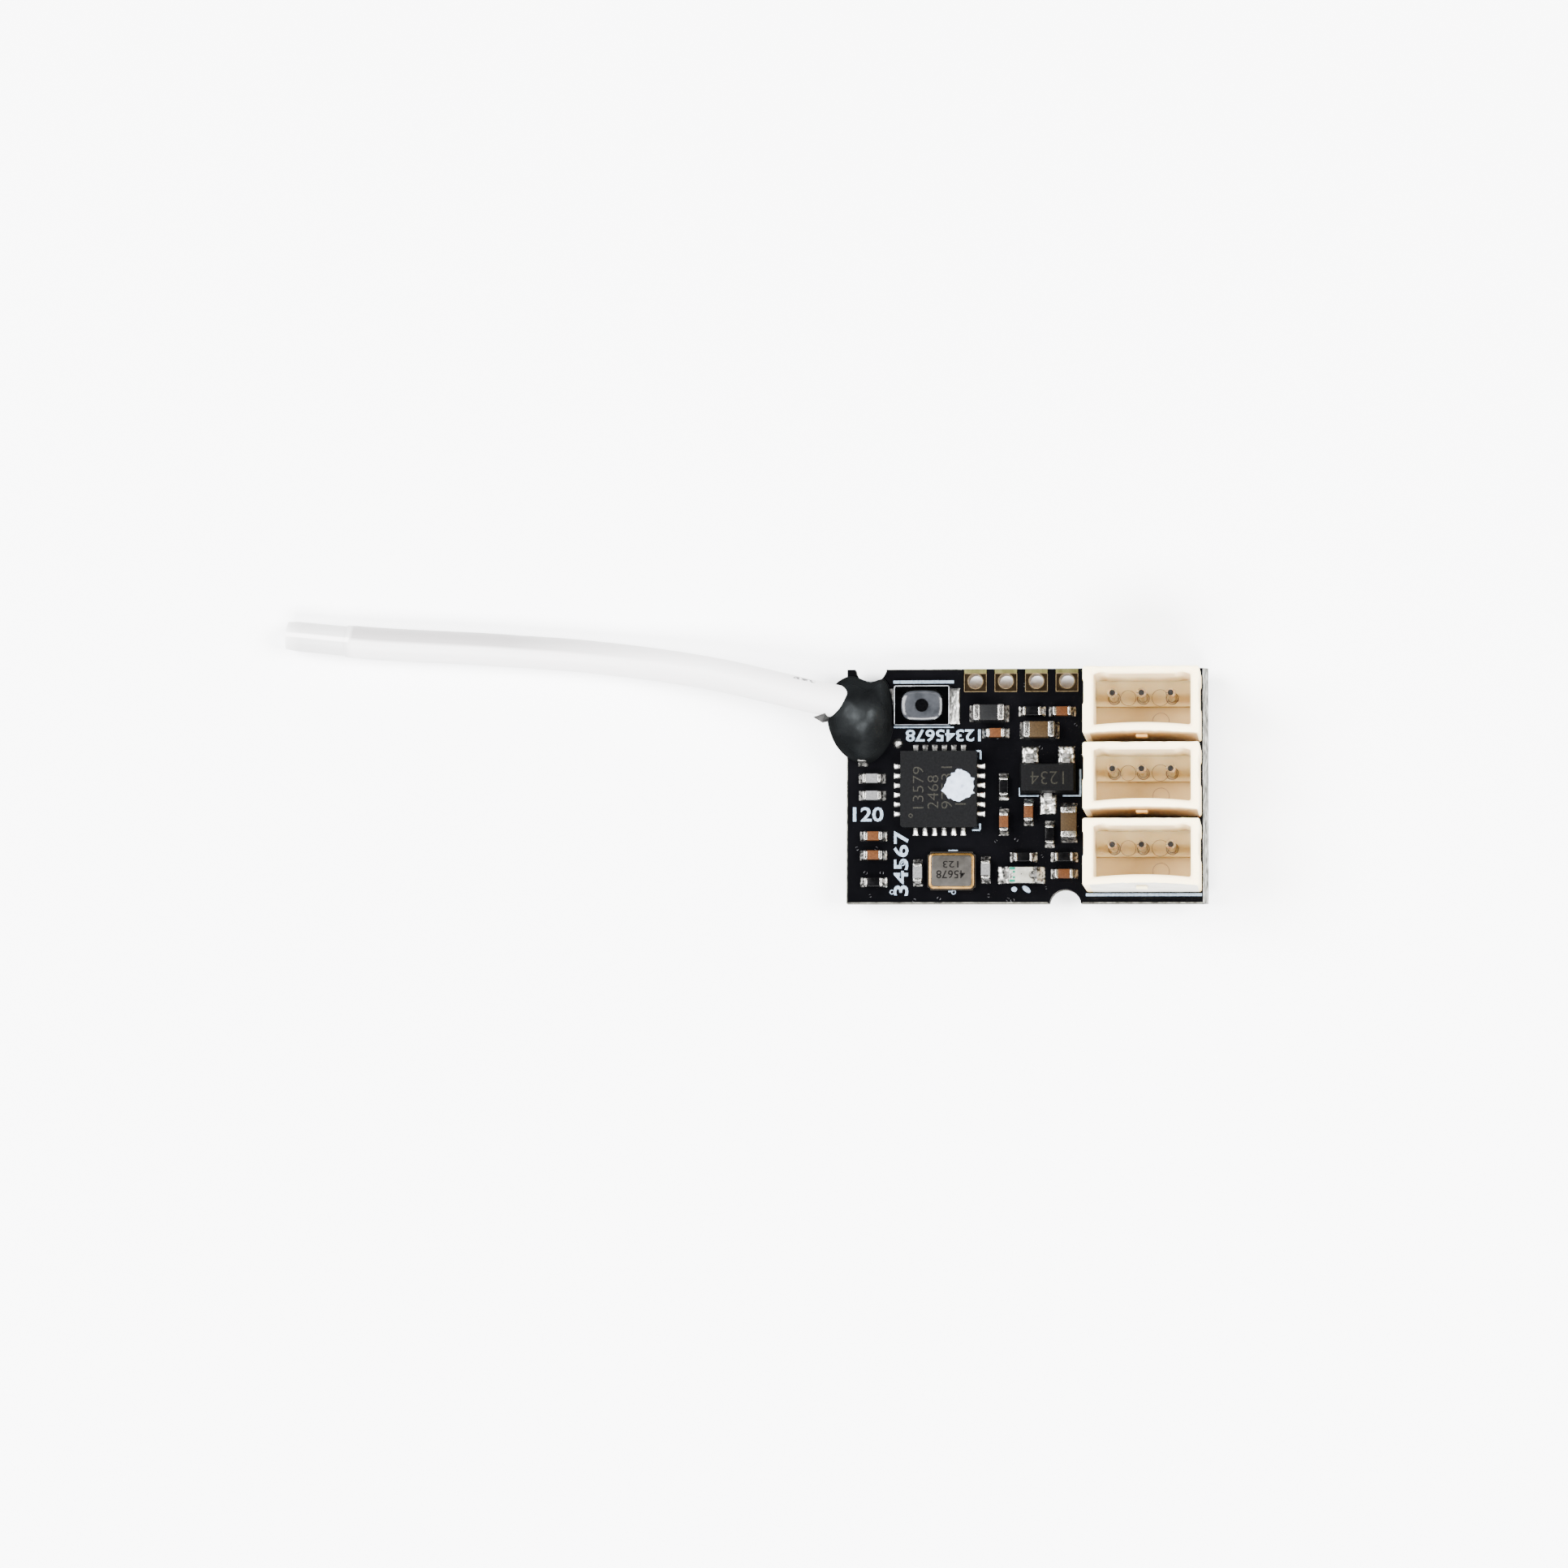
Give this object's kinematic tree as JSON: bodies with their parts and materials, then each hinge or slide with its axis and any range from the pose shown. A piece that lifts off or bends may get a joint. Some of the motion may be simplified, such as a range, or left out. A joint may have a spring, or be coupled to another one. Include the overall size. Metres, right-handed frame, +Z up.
{
  "type": "miniature radio control receiver board",
  "caption": "Small bare radio control receiver: circuit board with three servo headers, bind button and sleeved wire antenna",
  "frame": {"origin": "under the middle of the board, in the plane on which the controller chip and the pin tails rest", "axes": "+X along the board from the antenna corner to the servo headers, +Y across it to the edge with the plated holes, +Z up from the rest plane through the socket mouths"},
  "size_m": [0.0489, 0.0152, 0.0069],
  "materials": {
    "solder_mask": "satin black solder mask",
    "gilt_copper": "gold-plated copper",
    "ivory_nylon": "natural ivory nylon, slightly translucent",
    "tinned_pin": "tinned brass pin",
    "solder": "bright reflowed solder",
    "chip_black": "dark grey moulding compound",
    "white_paint": "white paint dab",
    "crystal_ceramic": "dark brown ceramic",
    "crystal_gold": "gilt seal ring",
    "crystal_lid": "grey-brown nickel-plated lid",
    "button_case": "black plastic",
    "button_steel": "stainless sheet",
    "button_film": "dark film with a black stem",
    "light_white": "milky white resin",
    "resistor_black": "black glaze",
    "capacitor_brown": "brown ceramic",
    "capacitor_grey": "grey ceramic",
    "bead_grey": "dark grey ferrite",
    "glue_black": "black glue with a smooth skin",
    "sleeve_white": "white sleeve"
  },
  "bodies": {
    "receiver": {"board": "solder_mask", "radio_chip": "chip_black", "radio_chip_joints": "solder", "paint_dab": "white_paint", "controller_chip": "chip_black", "controller_chip_joints": "solder", "crystal_base": "crystal_ceramic", "crystal_ring": "crystal_gold", "crystal_lid": "crystal_lid", "regulator_body": "chip_black", "regulator_leads": "solder", "switch_base": "button_case", "switch_cover": "button_steel", "switch_dome": "button_steel", "switch_lugs": "solder", "status_led": "light_white", "header_solder": "solder", "chip_solder": "solder", "glue_relief": "glue_black", "antenna_lead": "sleeve_white", "edge_pad_1": "gilt_copper", "edge_pad_2": "gilt_copper", "edge_pad_3": "gilt_copper", "edge_pad_4": "gilt_copper", "header_housing_1": "ivory_nylon", "header_housing_2": "ivory_nylon", "header_housing_3": "ivory_nylon", "header_pin_1_1": "tinned_pin", "header_pin_1_2": "tinned_pin", "header_pin_1_3": "tinned_pin", "header_pin_2_1": "tinned_pin", "header_pin_2_2": "tinned_pin", "header_pin_2_3": "tinned_pin", "header_pin_3_1": "tinned_pin", "header_pin_3_2": "tinned_pin", "header_pin_3_3": "tinned_pin", "resistor_1": "resistor_black", "resistor_2": "resistor_black", "resistor_3": "resistor_black", "resistor_4": "resistor_black", "resistor_5": "resistor_black", "resistor_6": "resistor_black", "capacitor_1": "capacitor_brown", "capacitor_2": "capacitor_brown", "capacitor_3": "capacitor_brown", "capacitor_4": "capacitor_brown", "capacitor_5": "capacitor_brown", "capacitor_10": "capacitor_brown", "capacitor_11": "capacitor_brown", "capacitor_6": "capacitor_grey", "capacitor_7": "capacitor_grey", "capacitor_8": "capacitor_grey", "capacitor_9": "capacitor_grey", "power_capacitor_1": "capacitor_brown", "power_capacitor_2": "capacitor_brown", "supply_bead": "bead_grey", "antenna_coil": "capacitor_grey", "back_capacitor_1": "capacitor_brown", "back_capacitor_2": "capacitor_brown"},
    "bind_button": {"switch_button": "button_film"}
  },
  "joints": [
    {"name": "button_press", "type": "slide", "parent": "receiver", "child": "bind_button", "axis": [0, 0, -1], "range_m": [0, 0.00015], "stiffness_N_per_m": 500}
  ]
}
